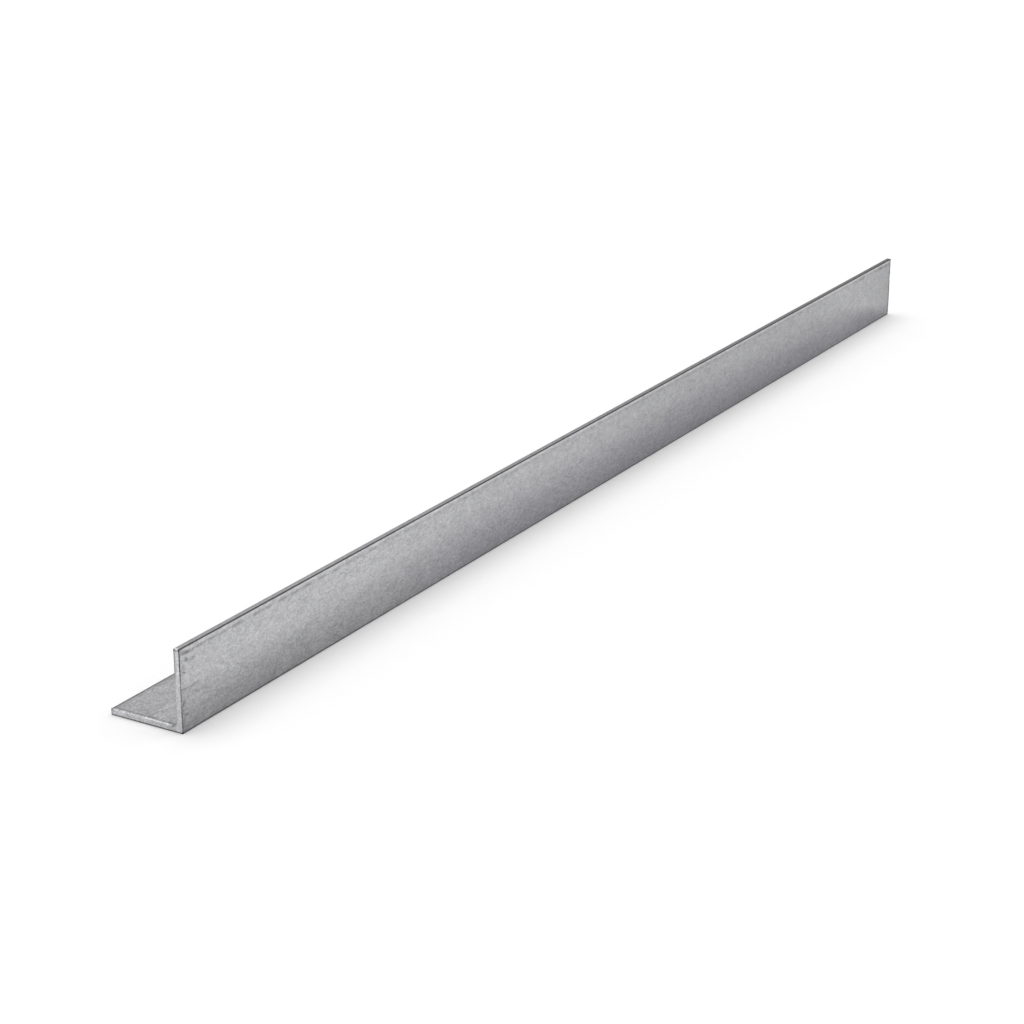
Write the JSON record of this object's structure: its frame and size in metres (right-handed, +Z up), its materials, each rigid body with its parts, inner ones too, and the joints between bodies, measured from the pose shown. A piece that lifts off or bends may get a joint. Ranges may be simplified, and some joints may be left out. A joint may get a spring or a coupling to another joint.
{
  "type": "steel angle section",
  "caption": "Straight length of L-shaped galvanised steel stock with equal legs at a right angle, for framing, edging and bracing.",
  "frame": {"origin": "on the floor, under the middle of the bar: the centre of the bounding box's bottom face", "axes": "+X along the bar; +Z up, along the standing leg; the lying leg's underside is on z = 0 and the heel runs along the -Y side, so the lying leg reaches towards +Y"},
  "size_m": [1, 0.05, 0.05],
  "materials": {
    "galvanised_steel": "hot-dip galvanised, dull and finely mottled, with a few dark marks and scratches"
  },
  "bodies": {
    "root": {"angle_section": "galvanised_steel"}
  },
  "joints": []
}
